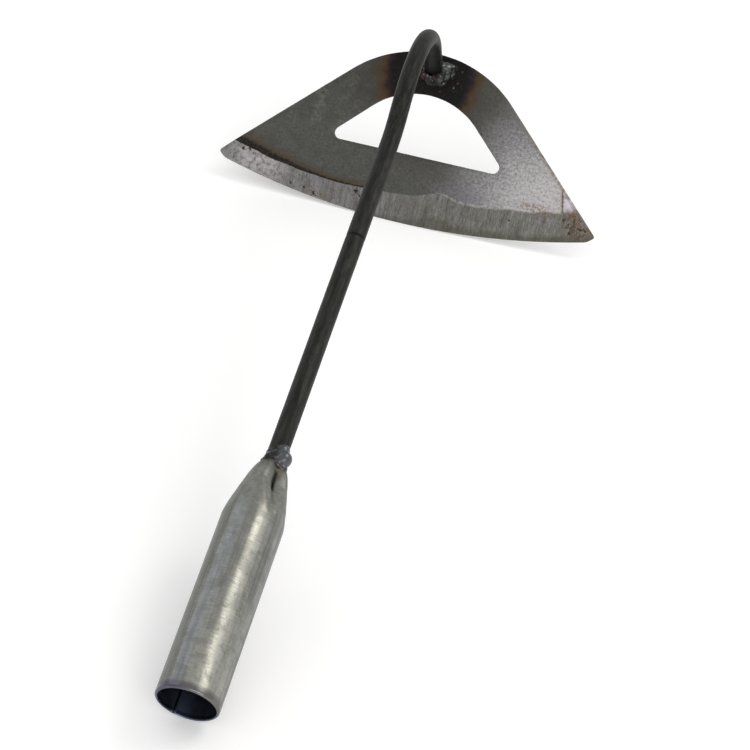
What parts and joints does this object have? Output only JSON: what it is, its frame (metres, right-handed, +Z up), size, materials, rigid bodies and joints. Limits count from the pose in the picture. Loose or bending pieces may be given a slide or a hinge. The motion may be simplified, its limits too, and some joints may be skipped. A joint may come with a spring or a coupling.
{
  "type": "hand weeding hoe",
  "caption": "Steel weeding hoe head: wide rounded-triangle blade with a window and ground edge, bent round-bar neck, and a pinched tube socket for a wooden handle.",
  "frame": {"origin": "centre of the socket's open mouth", "axes": "the hoe lies on a level surface on the lip of its socket and its cutting edge: +Y from the socket towards the blade, +Z up, X across the blade, which is symmetric about X = 0"},
  "size_m": [0.1846, 0.3791, 0.1063],
  "materials": {
    "blade_steel": "dull rolled plate with heat tint round the weld, grinding marks on the bevel and light rust",
    "black_bar": "dark mill scale on hot-rolled bar",
    "bright_tube": "bright drawn tube with fine brush marks",
    "weld_metal": "lumpy blue-grey weld metal with rust tints"
  },
  "bodies": {
    "root": {"blade": "blade_steel", "neck_bar": "black_bar", "socket_tube": "bright_tube", "foot_weld": "weld_metal", "collar_weld": "weld_metal", "weld_ball": "weld_metal", "weld_spatter": "weld_metal"}
  },
  "joints": []
}
